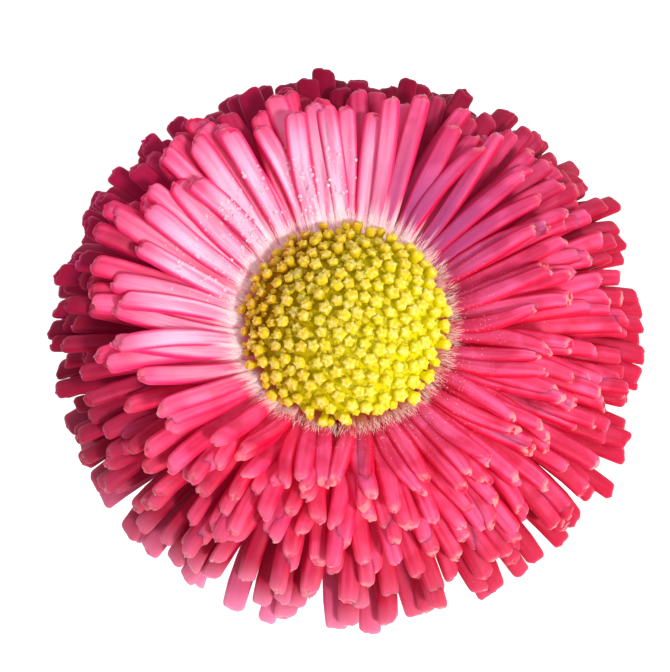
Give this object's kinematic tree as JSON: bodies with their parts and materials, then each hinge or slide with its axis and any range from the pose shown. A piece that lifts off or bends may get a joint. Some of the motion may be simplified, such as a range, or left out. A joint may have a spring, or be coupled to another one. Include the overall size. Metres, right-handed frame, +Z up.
{
  "type": "potted english daisy",
  "caption": "Double pink English daisy bloom with a yellow disc on a slim stalk, over a leaf rosette and buds in a small clay pot of soil.",
  "frame": {"origin": "middle of the pot's foot, on the surface that it stands on", "axes": "+Z up; seen from above, as in the picture, +X is right and +Y is the picture's top"},
  "size_m": [0.078, 0.078, 0.1825],
  "materials": {
    "terracotta": "matte",
    "potting_soil": "matte",
    "green_stalk": "satin",
    "leaf_green": "satin",
    "ray_petal": "satin",
    "disc_yellow": "satin"
  },
  "bodies": {
    "root": {"pot": "terracotta", "soil": "potting_soil", "flower_stalk": "green_stalk", "ray_florets": "ray_petal", "disc_florets": "disc_yellow", "bud_1_stalk": "green_stalk", "bud_1_rays": "ray_petal", "bud_2_stalk": "green_stalk", "bud_2_rays": "ray_petal", "leaf_01": "leaf_green", "leaf_02": "leaf_green", "leaf_03": "leaf_green", "leaf_04": "leaf_green", "leaf_05": "leaf_green", "leaf_06": "leaf_green", "leaf_07": "leaf_green", "leaf_08": "leaf_green", "leaf_09": "leaf_green", "leaf_10": "leaf_green", "leaf_11": "leaf_green", "leaf_12": "leaf_green", "leaf_13": "leaf_green", "leaf_14": "leaf_green", "leaf_15": "leaf_green", "leaf_16": "leaf_green"}
  },
  "joints": []
}
